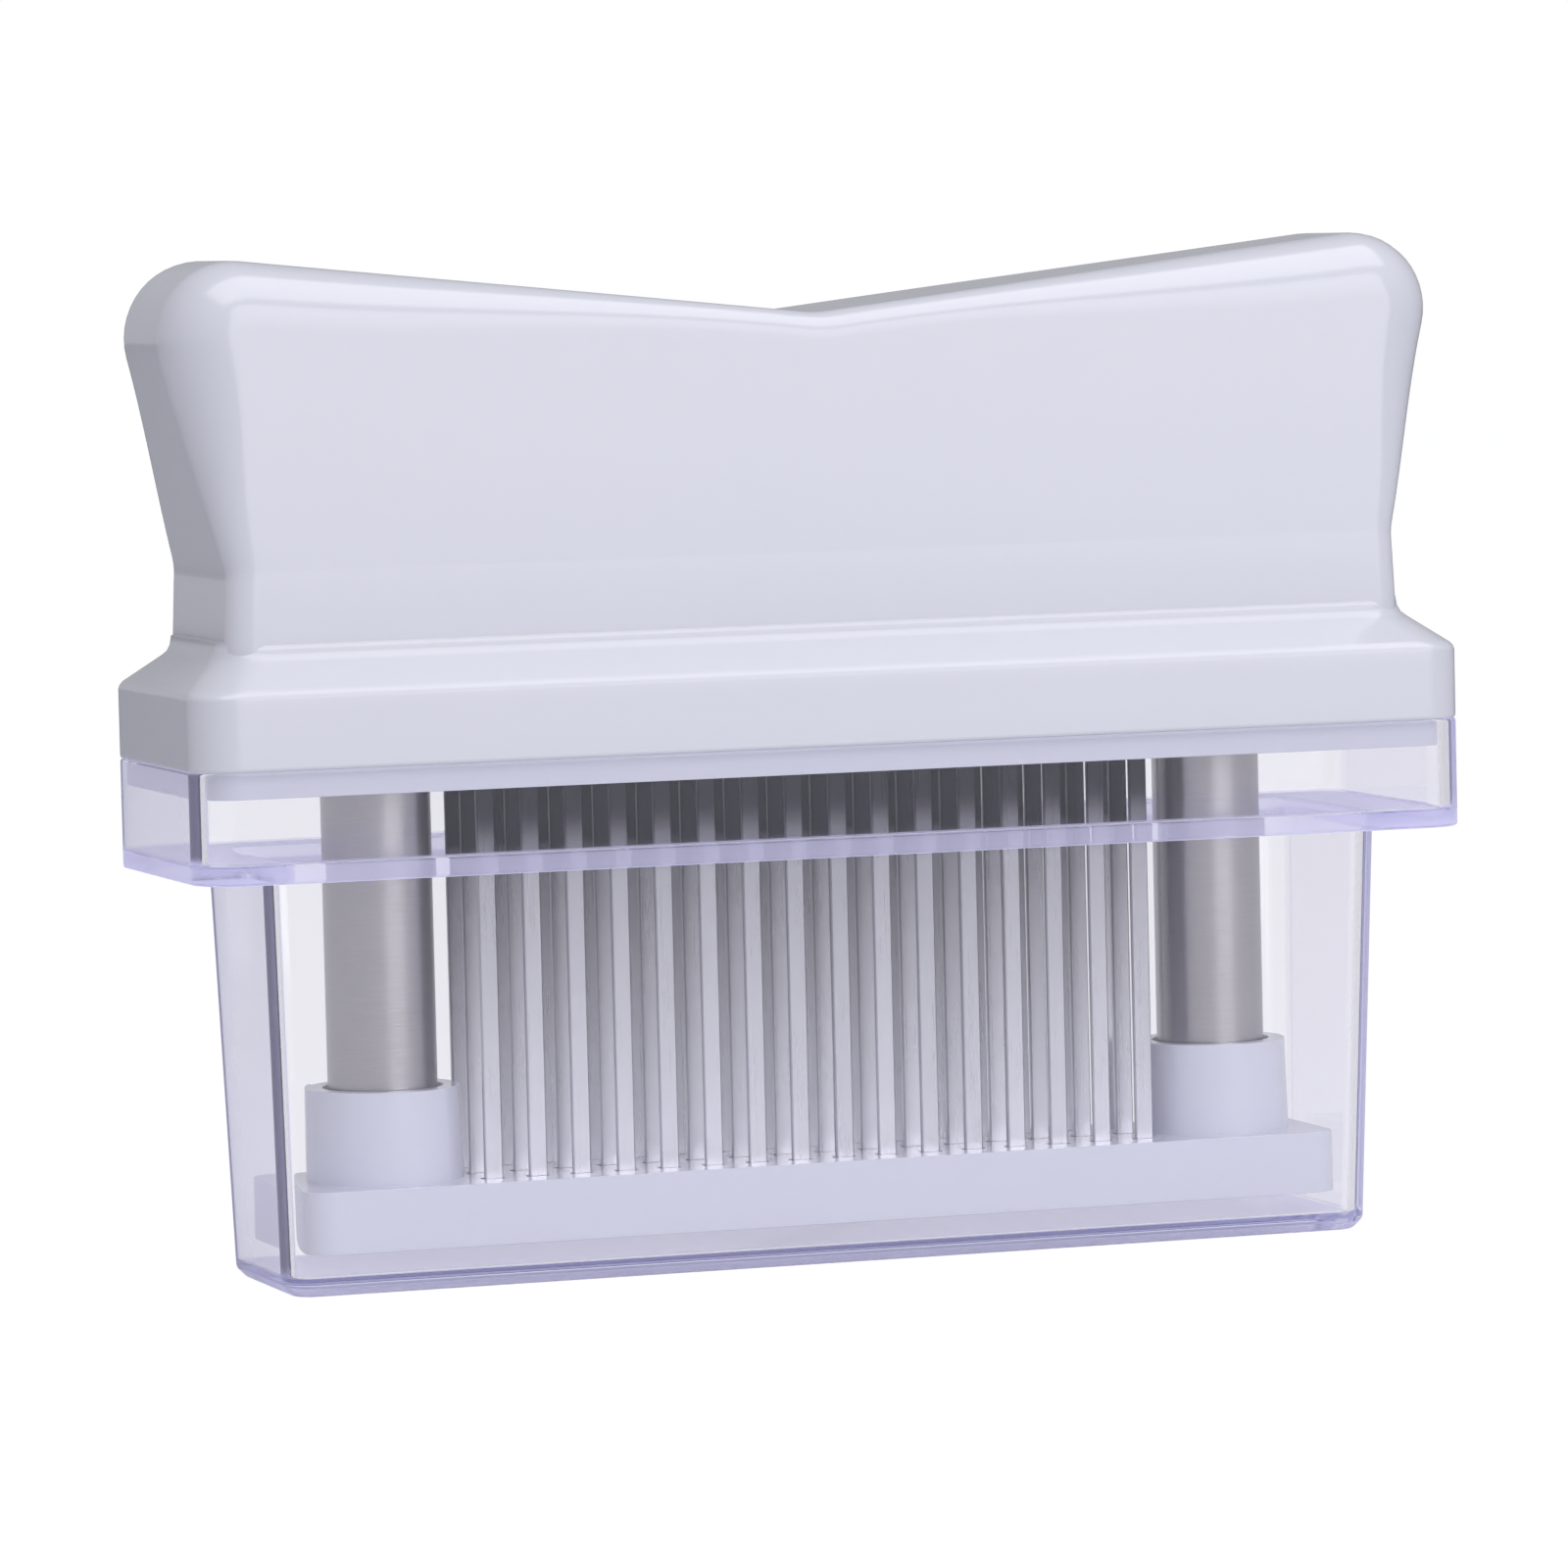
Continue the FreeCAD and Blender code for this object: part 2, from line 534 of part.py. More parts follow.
def build_spring(label, side):
    """Compression spring inside the column, from the foot's socket to the tower's roof."""
    wire = size("spring_wire")
    radius = (size("spring_diameter") - wire) / 2
    turns = size("spring_turns")
    base = size("foot_lift") + size("socket_floor")
    height = size("tower_roof") - base - wire
    slow = size("spring_end_rise")
    steps = int(round(4 * turns))

    def rise(turn):
        """Closed end turns, open turns between."""
        if turn < 1:
            return slow * turn
        if turn > turns - 1:
            return height - slow * (turns - turn)
        return slow + (height - 2 * slow) / (turns - 2) * (turn - 1)

    def point(turn):
        angle = 2 * math.pi * turn
        return Vector(radius * math.cos(angle), radius * math.sin(angle), wire / 2 + rise(turn))

    def way(turn):
        step = 1e-4
        return (point(turn + step) - point(turn - step)).normalize()

    edges = []
    for i in range(steps):
        first, last = i / 4, (i + 1) / 4
        edges += biarc(point(first), way(first), point(last), way(last))
    path = Part.Wire(edges)
    section = Part.Wire(Part.Circle(point(0), way(0), wire / 2).toShape())
    coil = path.makePipeShell([section], True, False)
    feature = doc.addObject("Part::Feature", label)
    feature.Label = label
    feature.Shape = coil
    bind(feature, "Placement.Base.x", f"{side}{{column_spacing}} / 2")
    bind(feature, "Placement.Base.z", SOCKET_BASE)
    expected = math.pi * wire * wire / 4 * path.Length
    print(label, "coil volume", round(coil.Volume, 2), "expected", round(expected, 2),
          "least gap", round(slow - wire, 2))
    return feature


def build_screws():
    """Four equal screws that hold the knife plate up against the handle's posts."""
    body = new_body("plate_screws", PLATE_BASE)
    heads = plane_sketch(body, "XY_Plane", "head_outline", "{plug_clearance}")
    circles(heads, "{screw_head_diameter}", POST_CENTRES)
    pad(body, heads, "heads", "{screw_head_height}")
    shanks = plane_sketch(body, "XY_Plane", "shank_outline", "{plug_clearance}")
    circles(shanks, "{screw_diameter}", POST_CENTRES)
    pad(body, shanks, "shanks", "{screw_length}")
    return body


def build_cover():
    """Clear cover: a drafted box under a ledge and an upright rim that goes round the knife plate."""
    body = new_body("cover")
    ledge_base = "({cover_height} - {rim_height})"
    rim_length = f"({PLUG_LENGTH} + 2 * {{plug_clearance}} + 2 * {{rim_wall}})"
    rim_depth = f"({PLUG_DEPTH} + 2 * {{plug_clearance}} + 2 * {{rim_wall}})"
    sole = plane_sketch(body, "XY_Plane", "sole_outline")
    rounded_rectangle(sole, "{box_base_length} - 2 * {base_chamfer}", "{box_base_depth} - 2 * {base_chamfer}",
                      "{box_corner} - {base_chamfer}")
    base = plane_sketch(body, "XY_Plane", "box_base_outline", "{base_chamfer}")
    rounded_rectangle(base, "{box_base_length}", "{box_base_depth}", "{box_corner}")
    top = plane_sketch(body, "XY_Plane", "box_top_outline", ledge_base)
    rounded_rectangle(top, "{box_top_length}", "{box_top_depth}", "{box_corner}")
    loft(body, "AdditiveLoft", "base_edge", sole, base)
    base_again = plane_sketch(body, "XY_Plane", "box_foot_outline", "{base_chamfer}")
    rounded_rectangle(base_again, "{box_base_length}", "{box_base_depth}", "{box_corner}")
    loft(body, "AdditiveLoft", "box", base_again, top)
    rim = plane_sketch(body, "XY_Plane", "rim_outline", ledge_base)
    rounded_rectangle(rim, rim_length, rim_depth, "{flange_corner}")
    pad(body, rim, "rim", "{rim_height}")
    mouth = plane_sketch(body, "XY_Plane", "mouth_outline", f"{ledge_base} + {{ledge_thickness}}")
    rounded_rectangle(mouth, f"{PLUG_LENGTH} + 2 * {{plug_clearance}}", f"{PLUG_DEPTH} + 2 * {{plug_clearance}}",
                      f"{PLUG_CORNER} + {{plug_clearance}}")
    pocket(body, mouth, "mouth", "{rim_height}", reverse=True)
    inside_base = plane_sketch(body, "XY_Plane", "inside_base_outline", "{cover_floor}")
    rounded_rectangle(inside_base, "{box_base_length} - 2 * {cover_wall}", "{box_base_depth} - 2 * {cover_wall}",
                      "{box_corner} - {cover_wall}")
    inside_top = plane_sketch(body, "XY_Plane", "inside_top_outline", f"{ledge_base} + {{ledge_thickness}}")
    rounded_rectangle(inside_top, "{box_top_length} - 2 * {cover_wall}", "{box_top_depth} - 2 * {cover_wall}",
                      "{box_corner} - {cover_wall}")
    loft(body, "SubtractiveLoft", "inside", inside_base, inside_top)
    return body


parts = [build_handle(), build_knife_plate(), build_clamp(), build_screws(), build_foot(), build_cover()]
for side_sign, side_name in (("-", "left"), ("", "right")):
    parts.append(build_column(f"{side_name}_column", side_sign))
    parts.append(build_stop_ring(f"{side_name}_stop_ring", side_sign))
    parts.append(build_spring(f"{side_name}_spring", side_sign))
ROW_NAMES = ["front", "middle", "rear"]
for row_number in range(int(size("knife_rows"))):
    for column_number in range(int(size("knife_columns"))):
        knife_label = f"knife_{ROW_NAMES[row_number]}_{column_number + 1:02d}"
        parts.append(build_knife(knife_label, column_number, row_number))
doc.recompute()

for item in doc.Objects:
    if {"Invalid", "Error"} & set(item.State):
        raise RuntimeError(f"{item.Name} failed: {item.State}")
for item in parts:
    if item.Shape.isNull() or not item.Shape.isValid():
        raise RuntimeError(f"{item.Label} has no valid shape")

travel = size("cover_height") - size("plug_drop")
travel -= size("foot_lift") + size("foot_thickness") + size("boss_height")
print("foot travel to the bosses' stop", round(travel, 2))
os.makedirs("parts", exist_ok=True)
for item in parts:
    item.Shape.exportStep(f"parts/{item.Label}.step")
    print(item.Label, "solids", len(item.Shape.Solids), "volume", round(item.Shape.Volume, 1))
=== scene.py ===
# %% [markdown]
# A blade meat tenderizer with its clear cover on. The press has a glossy white handle with flared horns,
# forty-eight flat steel knives, a white slotted foot on two steel columns, and a cover moulded in clear
# plastic. The solids come from the frame at their real size; this script gives them soft edges, finishes
# and light. Everything is in metres, with Z = 0 on the table and X along the handle.

# %% Load the frame
import math

import bmesh
import bpy

from mathutils import Matrix, Vector

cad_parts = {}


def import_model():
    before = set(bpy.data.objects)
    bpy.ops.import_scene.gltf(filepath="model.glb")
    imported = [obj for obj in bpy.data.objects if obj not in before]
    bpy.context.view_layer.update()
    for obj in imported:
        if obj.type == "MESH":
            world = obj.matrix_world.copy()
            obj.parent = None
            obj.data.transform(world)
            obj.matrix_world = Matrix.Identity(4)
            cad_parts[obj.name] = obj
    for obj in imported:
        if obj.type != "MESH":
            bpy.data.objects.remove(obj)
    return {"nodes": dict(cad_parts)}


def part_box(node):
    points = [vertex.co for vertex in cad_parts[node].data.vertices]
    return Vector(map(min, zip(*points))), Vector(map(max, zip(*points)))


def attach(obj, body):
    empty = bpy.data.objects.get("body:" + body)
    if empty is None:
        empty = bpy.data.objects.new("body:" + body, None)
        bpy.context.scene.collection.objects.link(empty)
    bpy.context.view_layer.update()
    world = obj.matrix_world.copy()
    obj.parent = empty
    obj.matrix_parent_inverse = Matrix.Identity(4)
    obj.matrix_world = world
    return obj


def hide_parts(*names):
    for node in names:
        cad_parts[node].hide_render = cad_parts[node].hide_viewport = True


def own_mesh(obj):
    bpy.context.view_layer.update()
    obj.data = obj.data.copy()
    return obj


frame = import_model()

MM = 0.001
ACROSS, UP = 1, 2
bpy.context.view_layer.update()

# %% [markdown]
# Shader trees get long when every sum is three lines of node calls. One small class wraps a socket, so
# that an expression such as `1 - grain * 0.2` adds its Math nodes by itself. Every other node comes from
# one method that sets the node's own settings first and then its sockets.

# %% A tree writer and a value that does maths
class Value:
    """A float socket that adds Math nodes when it is used in an expression."""

    def __init__(self, tree, socket):
        self.tree = tree
        self.socket = socket

    def _math(self, operation, *inputs):
        return Value(self.tree, self.tree.add("ShaderNodeMath", {"operation": operation}, list(inputs)))

    def __add__(self, other):
        return self._math("ADD", self, other)

    def __mul__(self, other):
        return self._math("MULTIPLY", self, other)

    def __sub__(self, other):
        return self._math("SUBTRACT", self, other)

    def __rsub__(self, other):
        return self._math("SUBTRACT", other, self)

    def above(self, limit):
        return self._math("GREATER_THAN", self, limit)

    def larger(self, other):
        return self._math("MAXIMUM", self, other)

    __radd__ = __add__
    __rmul__ = __mul__


class Tree:
    """Writes the nodes of one material or world."""

    def __init__(self, owner):
        self.owner = owner
        owner.use_nodes = True
        self.nodes = owner.node_tree.nodes
        self.nodes.clear()

    def add(self, kind, settings=None, inputs=None, output=0):
        """Adds a node; inputs is a list in socket order or a dict by socket name."""
        node = self.nodes.new(kind)
        for key, setting in (settings or {}).items():
            setattr(node, key, setting)
        pairs = inputs.items() if isinstance(inputs, dict) else enumerate(inputs or [])
        for key, given in pairs:
            given = getattr(given, "socket", given)
            if isinstance(given, bpy.types.NodeSocket):
                self.owner.node_tree.links.new(given, node.inputs[key])
            elif given is not None:
                node.inputs[key].default_value = given
        return None if output is None else node.outputs[output]

    def value(self, *arguments, **named):
        return Value(self, self.add(*arguments, **named))

    def noise(self, scale, detail=2.0, stretch=(1, 1, 1)):
        """Noise in object space; stretch scales the pattern along X, Y and Z."""
        place = self.add("ShaderNodeTexCoord", output=3)
        place = self.add("ShaderNodeMapping", inputs={"Vector": place, "Scale": stretch})
        return self.value("ShaderNodeTexNoise", inputs={"Vector": place, "Scale": scale, "Detail": detail})

    def coordinate(self, axis):
        """The object-space coordinate along axis 0, 1 or 2."""
        place = self.add("ShaderNodeTexCoord", output=3)
        return self.value("ShaderNodeSeparateXYZ", inputs=[place], output=axis)

    def blend(self, factor, first, second):
        """A colour between two colours."""
        return self.add("ShaderNodeMix", {"data_type": "RGBA"},
                        {"Factor": factor, 6: first, 7: second}, output=2)

    def bump(self, height, depth, strength=1.0, over=None):
        """Tilts the normal by a height; over is a normal that is already tilted."""
        return self.add("ShaderNodeBump", inputs={"Height": height, "Distance": depth, "Strength": strength,
                                                  "Normal": over})

    def light_path(self, *names):
        """Values of the Light Path node's outputs."""
        return [Value(self, self.add("ShaderNodeLightPath", output=name)) for name in names]

    def seen_plainly(self):
        """One for what the camera sees, straight or through the clear cover, and less for reflections."""
        names = "Is Camera Ray", "Is Transmission Ray", "Glossy Depth"
        camera_ray, through, reflections = self.light_path(*names)
        return camera_ray.larger(through * (1 - reflections.above(0.5) * 0.35))

    def finish(self, shader, volume=None):
        kind = "World" if isinstance(self.owner, bpy.types.World) else "Material"
        self.add(f"ShaderNodeOutput{kind}", inputs={"Surface": shader, "Volume": volume}, output=None)
        return self.owner


print("tree writer ready")

# %% [markdown]
# The handle, the foot and the knife plate are one plastic: a cool white, polished in the mould. The
# pieces under the cover get a lighter copy of it, painted brighter to make up for the shade in there.
# Real mouldings aren't mirror flat, so the gloss gets a very shallow, wide waviness and faint handling
# marks that change the roughness and hardly the colour.

# %% White moulded plastic
CREASE_HEIGHT = 78.4 * MM
LEAN = 0.03


def white_plastic(name, tone, crease_height=None):
    """Glossy white; under the crease height the face seems to lean by LEAN, about two degrees."""
    tree = Tree(bpy.data.materials.new(name))
    cloud = tree.noise(18, detail=3)
    marks = tree.noise(240, detail=4, stretch=(1, 1, 0.25))
    pale = [tone * part for part in (0.885, 0.89, 1.0)] + [1]
    deep = [tone * part for part in (0.855, 0.865, 0.985)] + [1]
    colour = tree.blend(cloud * 0.5 + 0.25, deep, pale)
    waves = tree.bump(tree.noise(60, detail=1), 0.00006, 0.35)
    if crease_height:
        below = (crease_height - tree.coordinate(UP)).larger(0)
        waves = tree.bump(below * LEAN, 1.0, over=waves)
    shader = tree.add("ShaderNodeBsdfPrincipled", inputs={
        "Base Color": colour, "Roughness": 0.16 + marks * 0.1, "IOR": 1.5, "Normal": waves,
        "Coat Weight": 0.5, "Coat Roughness": 0.05})
    return tree.finish(shader)


# two tones of one plastic: the pieces under the cover get the lighter one, painted brighter against the shade
# there
WHITE = white_plastic("white_plastic", 0.93)
HANDLE_WHITE = white_plastic("handle_white_plastic", 0.775, crease_height=CREASE_HEIGHT)
print(WHITE.name, len(WHITE.node_tree.nodes), "nodes")

# %% [markdown]
# The cover is a clear plastic with a faint lavender cast that only shows where one looks along a wall:
# in the rim, the ledge and the corners. A real volume does that by itself, so the solid absorbs a
# little yellow light per metre. On top, a milk-white mix with a painted lavender glow is blended in at
# grazing angles and along the ledge. Shadow and diffuse rays pass straight through, as they all but do
# in life, so that the knives inside stay lit.

# %% Clear plastic
LEDGE_BOTTOM, LEDGE_TOP = 45.25 * MM, 47.25 * MM
HAZE_COLOUR = (0.68, 0.66, 0.88, 1)


def clear_plastic():
    """Glass, with a milk-white mix and a painted lavender glow where one looks along a wall or through the
    ledge.
    """
    tree = Tree(bpy.data.materials.new("clear_plastic"))
    smears = tree.noise(35, detail=4, stretch=(1, 1, 0.5))
    waves = tree.bump(tree.noise(55, detail=1), 0.0001, 0.25)
    glass = tree.add("ShaderNodeBsdfPrincipled", inputs={
        "Base Color": (0.965, 0.96, 0.975, 1), "Roughness": 0.015 + smears * 0.03, "IOR": 1.49,
        "Transmission Weight": 1.0, "Normal": waves})
    milk = tree.add("ShaderNodeBsdfTranslucent", inputs={"Color": HAZE_COLOUR})
    sheen = tree.add("ShaderNodeBsdfDiffuse", inputs={"Color": HAZE_COLOUR})
    haze_and_glow = tree.add("ShaderNodeMixShader", inputs=[0.5, milk, sheen])
    # painted glow: an emission that brightens the milk-white walls and the ledge though the cover is no lamp
    painted_glow = tree.add("ShaderNodeEmission", inputs={"Color": (0.62, 0.60, 0.86, 1), "Strength": 0.4})
    haze_and_glow = tree.add("ShaderNodeAddShader", inputs=[haze_and_glow, painted_glow])
    grazing = tree.value("ShaderNodeLayerWeight", inputs={"Blend": 0.5, "Normal": waves}, output=1)
    height = tree.coordinate(UP)
    ledge = height.above(LEDGE_BOTTOM) * (1 - height.above(LEDGE_TOP))
    milk_and_glow_amount = grazing * grazing * grazing * 0.7 + ledge * 0.35 + 0.015
    body = tree.add("ShaderNodeMixShader", inputs=[milk_and_glow_amount, glass, haze_and_glow])
    clear = tree.add("ShaderNodeBsdfTransparent", inputs={"Color": (0.97, 0.97, 0.98, 1)})
    shadow, diffuse = tree.light_path("Is Shadow Ray", "Is Diffuse Ray")
    shader = tree.add("ShaderNodeMixShader", inputs=[shadow.larger(diffuse), body, clear])
    tint = tree.add("ShaderNodeVolumeAbsorption", inputs={"Color": (0.32, 0.34, 0.64, 1), "Density": 20.0})
    return tree.finish(shader, tint)


CLEAR = clear_plastic()
print(CLEAR.name, len(CLEAR.node_tree.nodes), "nodes")

# %% [markdown]
# Three steels. The columns are drawn tube, turned to a satin finish, so their marks run round them. The
# knives are rolled strip with marks along their length. The springs, rings and screws are plain bright
# wire. The marks change both roughness and a very shallow bump. The knives also get painted shade,
# darker towards the knife plate and on the rows behind.

# %% Steels
def steel(name, colour, dark, roughness, stretch, depth, shaded=None):
    """Metal with grain along or round it; shaded, if given, paints shade that darkens the tone by a value of
    its own.
    """
    tree = Tree(bpy.data.materials.new(name))
    grain = tree.noise(500, detail=5, stretch=stretch)
    cloud = tree.noise(70, detail=3)
    mix = grain * 0.6 + cloud * 0.4
    if shaded:
        mix = mix * 0.6 + tree.value("ShaderNodeAttribute", {"attribute_name": "shade"}, output=2) * 0.5
    tone = tree.blend(mix, dark, colour)
    if shaded:
        # painted shade: the tone is pulled towards near black where the strips sit in shade
        tone = tree.blend(shaded(tree), tone, (0.015, 0.015, 0.02, 1))
    shader = tree.add("ShaderNodeBsdfPrincipled", inputs={
        "Base Color": tone, "Metallic": 1.0, "Roughness": roughness + grain * 0.12 + cloud * 0.06,
        "Normal": tree.bump(grain, depth, 0.5)})
    return tree.finish(shader)


def painted_strip_shade(tree):
    """Painted shade on the strips: more near the knife plate, and most on the two rows behind."""
    height = tree.coordinate(UP)
    shade_near_plate = tree.value("ShaderNodeMapRange", {"interpolation_type": "SMOOTHSTEP"},
                            {"Value": height, "From Min": 43.0 * MM, "From Max": 51.0 * MM})
    shade_up_the_strip = tree.value("ShaderNodeMapRange", inputs={
        "Value": height, "From Min": 15.0 * MM, "From Max": 42.0 * MM})
    behind = tree.coordinate(ACROSS).above(-3.0 * MM)
    return shade_near_plate * (0.55 + behind * 0.23) + shade_up_the_strip * (0.43 + behind * 0.2)


COLUMN = steel("column_satin_steel", (0.55, 0.53, 0.54, 1), (0.40, 0.39, 0.40, 1), 0.22, (0.6, 0.6, 9),
               0.00003)
KNIFE = steel("knife_strip_steel", (0.76, 0.75, 0.80, 1), (0.55, 0.55, 0.60, 1), 0.2, (6, 6, 0.12), 0.00002,
              shaded=painted_strip_shade)
WIRE = steel("bright_wire_steel", (0.66, 0.66, 0.68, 1), (0.5, 0.5, 0.52, 1), 0.18, (1, 1, 1), 0.00002)
print("steels", COLUMN.name, KNIFE.name, WIRE.name)

# %% [markdown]
# A moulding has no knife-sharp edges: its corners catch a thin line of light. The solids come in with
# sharp edges, so each plastic piece is copied, its loose triangles are joined, and a narrow bevel rounds
# what is left sharp. The copy then stands for the solid.

# %% Soft edges on the plastic pieces
def settle(piece):
    """Keeps wide faces flat in their shading, then turns the modifiers into the piece's own mesh."""
    piece.modifiers.new("flat_faces", "WEIGHTED_NORMAL").weight = 100
    finished = bpy.data.meshes.new_from_object(piece.evaluated_get(bpy.context.evaluated_depsgraph_get()))
    piece.modifiers.clear()
    piece.data = finished


def linked(name, data):
    """A new object in the scene for a mesh, a lamp or a camera."""
    piece = bpy.data.objects.new(name, data)
    bpy.context.scene.collection.objects.link(piece)
    return piece


def merged_copy(node, name, material, flat_degrees=None):
    """A copy of a solid with its loose triangles joined, and its flat faces made whole if an angle is given."""
    mesh = frame["nodes"][node].data.copy()
    mesh.name = name
    form = bmesh.new()
    form.from_mesh(mesh)
    bmesh.ops.remove_doubles(form, verts=form.verts, dist=0.002 * MM)
    if flat_degrees:
        bmesh.ops.dissolve_limit(form, angle_limit=math.radians(flat_degrees), verts=form.verts,
                                 edges=form.edges)
    form.to_mesh(mesh)
    form.free()
    mesh.materials.clear()
    mesh.materials.append(material)
    mesh.shade_smooth()
    return linked(name, mesh)


def softened(node, body, width, segments, material, name):
    """A merged copy whose edges are rounded; it stands for the solid."""
    piece = merged_copy(node, name, material, flat_degrees=1.0)
    bevel = piece.modifiers.new("edge", "BEVEL")
    bevel.width = width
    bevel.segments = segments
    bevel.limit_method = "ANGLE"
    bevel.angle_limit = math.radians(28)
    bevel.use_clamp_overlap = True
    settle(piece)
    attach(piece, body)
    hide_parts(node)
    print(name, "faces", len(piece.data.polygons))
    return piece


FOOT = softened("foot", "foot", 0.25 * MM, 2, WHITE, "foot_moulding")
PLATE = softened("knife_plate", "handle", 0.2 * MM, 2, WHITE, "knife_plate_moulding")
COVER = softened("cover", "cover", 0.35 * MM, 3, CLEAR, "cover_moulding")

# %% [markdown]
# The handle's edges aren't rounded alike: the radius swells from about 3 mm at the dip and the neck to 7 mm
# on the horns, where a palm presses. So the grip is drawn here from its outline. At each point of the
# outline a quarter circle of that point's own radius turns the end wall into the flat face. Inside it is
# hollow, since the columns rise into it.

# %% Grip from an outline with a changing edge radius
def rounded_path(corners, straight_steps, arc_steps):
    """Points along a path of (x, z, radius) corners, with each corner turned on its own radius."""
    path = []
    for i in range(1, len(corners) - 1):
        before, here, after = (Vector(corners[k][:2]) for k in (i - 1, i, i + 1))
        back_way = (before - here).normalized()
        on_way = (after - here).normalized()
        half = back_way.angle(on_way) / 2
        radius = corners[i][2]
        reach = radius / math.tan(half)
        centre = here + (back_way + on_way).normalized() * (radius / math.sin(half))
        first = here + back_way * reach
        last = here + on_way * reach
        begin = path[-1] if path else before
        path += [begin.lerp(first, k / straight_steps) for k in range(0 if i == 1 else 1, straight_steps)]
        spoke = first - centre
        turn = spoke.angle_signed(last - centre)
        for k in range(arc_steps + 1):
            angle = -turn * k / arc_steps
            path.append(centre + Vector((spoke.x * math.cos(angle) - spoke.y * math.sin(angle),
                                         spoke.x * math.sin(angle) + spoke.y * math.cos(angle))))
    final = Vector(corners[-1][:2])
    begin = path[-1]
    path += [begin.lerp(final, k / straight_steps) for k in range(1, straight_steps + 1)]
    return path


def smooth_step(low_end, high_end, value):
    share = min(1.0, max(0.0, (value - low_end) / (high_end - low_end)))
    return share * share * (3 - 2 * share)


def edge_radius(point):
    """Rounding between end wall and face at a point of the outline, in millimetres."""
    if point.y > 100 and abs(point.x) < 66:
        return 3.0 + 4.0 * smooth_step(6, 66, abs(point.x))
    return 2.8 + 4.2 * smooth_step(76, 101, point.y)


GRIP_BASE = 65.6
CAVITY = (129.0, 22.0, 2.0)
CAVITY_ROOF = 101.0


def grip(form):
    """The flared body, hollow so that the columns can rise in it; its lower rim stands in the shoulder."""
    half_depth = 13.4
    quarter_steps = 10
    corners = [(-67.9, GRIP_BASE, 0), (-67.3, 78.4, 7), (-75.8, 112.9, 8.4), (0, 104.4, 14),
               (75.8, 112.9, 8.4), (67.3, 78.4, 7), (67.9, GRIP_BASE, 0)]
    path = rounded_path(corners, 14, 14)
    columns = []
    for i, point in enumerate(path):
        way = path[min(i + 1, len(path) - 1)] - path[max(i - 1, 0)]
        inward = Vector((way.y, -way.x)).normalized()
        radius = edge_radius(point)
        column = []
        for k in range(quarter_steps + 1):
            angle = math.radians(90) * k / quarter_steps
            inset = point + inward * radius * (1 - math.cos(angle))
            column.append((inset, half_depth - radius * (1 - math.sin(angle))))
        faces_y = [(at, -y) for at, y in reversed(column)] + column
        columns.append([form.verts.new((at.x * MM, y * MM, at.y * MM)) for at, y in faces_y])
    for first, second in zip(columns, columns[1:]):
        for k in range(len(first) - 1):
            form.faces.new((first[k], first[k + 1], second[k + 1], second[k]))
    form.faces.new([column[0] for column in columns])
    form.faces.new([column[-1] for column in reversed(columns)])
    cavity = [ring(form, *CAVITY, height) for height in (GRIP_BASE, CAVITY_ROOF)]
    skin(form, cavity)
    form.faces.new(cavity[-1])
    rim = [edge for edge in form.edges if edge.is_boundary]
    bmesh.ops.triangle_fill(form, use_beauty=True, edges=rim)


def ring(form, length, depth, corner, height, corner_steps=8):
    """A rounded rectangle of vertices at one height."""
    vertices = []
    for sign_x, sign_y, start in ((1, -1, -90), (1, 1, 0), (-1, 1, 90), (-1, -1, 180)):
        for k in range(corner_steps + 1):
            angle = math.radians(start + 90 * k / corner_steps)
            x = sign_x * (length / 2 - corner) + corner * math.cos(angle)
            y = sign_y * (depth / 2 - corner) + corner * math.sin(angle)
            vertices.append(form.verts.new((x * MM, y * MM, height * MM)))
    return vertices


def skin(form, rings):
    """Quads between each ring and the next."""
    for lower, upper in zip(rings, rings[1:]):
        for k in range(len(lower)):
            after = (k + 1) % len(lower)
            form.faces.new((lower[k], lower[after], upper[after], upper[k]))


def flange(form):
    """Upright flange, sloped shoulder, recess for the knife plate and an opening up into the grip."""
    length_depth_corner_height = [
        (142.2, 34.6, 3.1, 63.2), (142.2, 34.6, 3.1, 57.5), (142.4, 34.8, 3.2, 57.4), (145.5, 37.9, 4.8, 57.4),
        (145.9, 38.3, 5.0, 57.5), (146.0, 38.4, 5.0, 57.8), (146.0, 38.4, 5.0, 65.0), (145.8, 38.2, 5.0, 65.4),
        (145.3, 37.6, 5.0, 65.8), (144.4, 36.4, 5.0, 66.2), (138.6, 29.0, 5.0, 68.7), (137.6, 27.9, 5.0, 69.2),
        (136.9, 27.1, 4.7, 69.9), (136.5, 26.7, 4.4, 70.9), (129.6, 22.6, 2.3, 70.9), (129.6, 22.6, 2.3, 63.2)]
    rings = [ring(form, *row) for row in length_depth_corner_height]
    skin(form, rings + rings[:1])


def mesh_piece(name, builders, material, sharp_degrees=40):
    """An object whose mesh the builders fill in turn."""
    mesh = bpy.data.meshes.new(name)
    form = bmesh.new()
    for builder in builders:
        builder(form)
    bmesh.ops.recalc_face_normals(form, faces=form.faces)
    form.to_mesh(mesh)
    form.free()
    mesh.materials.append(material)
    mesh.shade_smooth()
    mesh.set_sharp_from_angle(angle=math.radians(sharp_degrees))
    return linked(name, mesh)


HANDLE = mesh_piece("handle_moulding", [grip, flange], HANDLE_WHITE)
settle(HANDLE)
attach(HANDLE, "handle")
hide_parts("handle_shell")
print("handle faces", len(HANDLE.data.polygons))

# %% [markdown]
# Forty-eight equal strips are one strip and a rule. The strip is a thin bar with its long edges broken and
# a ground slant at the tip. Geometry Nodes puts it on a grid of points and turns each one a little, since
# no two sit quite alike in their slots. Each also gets a number of its own, which its material reads.

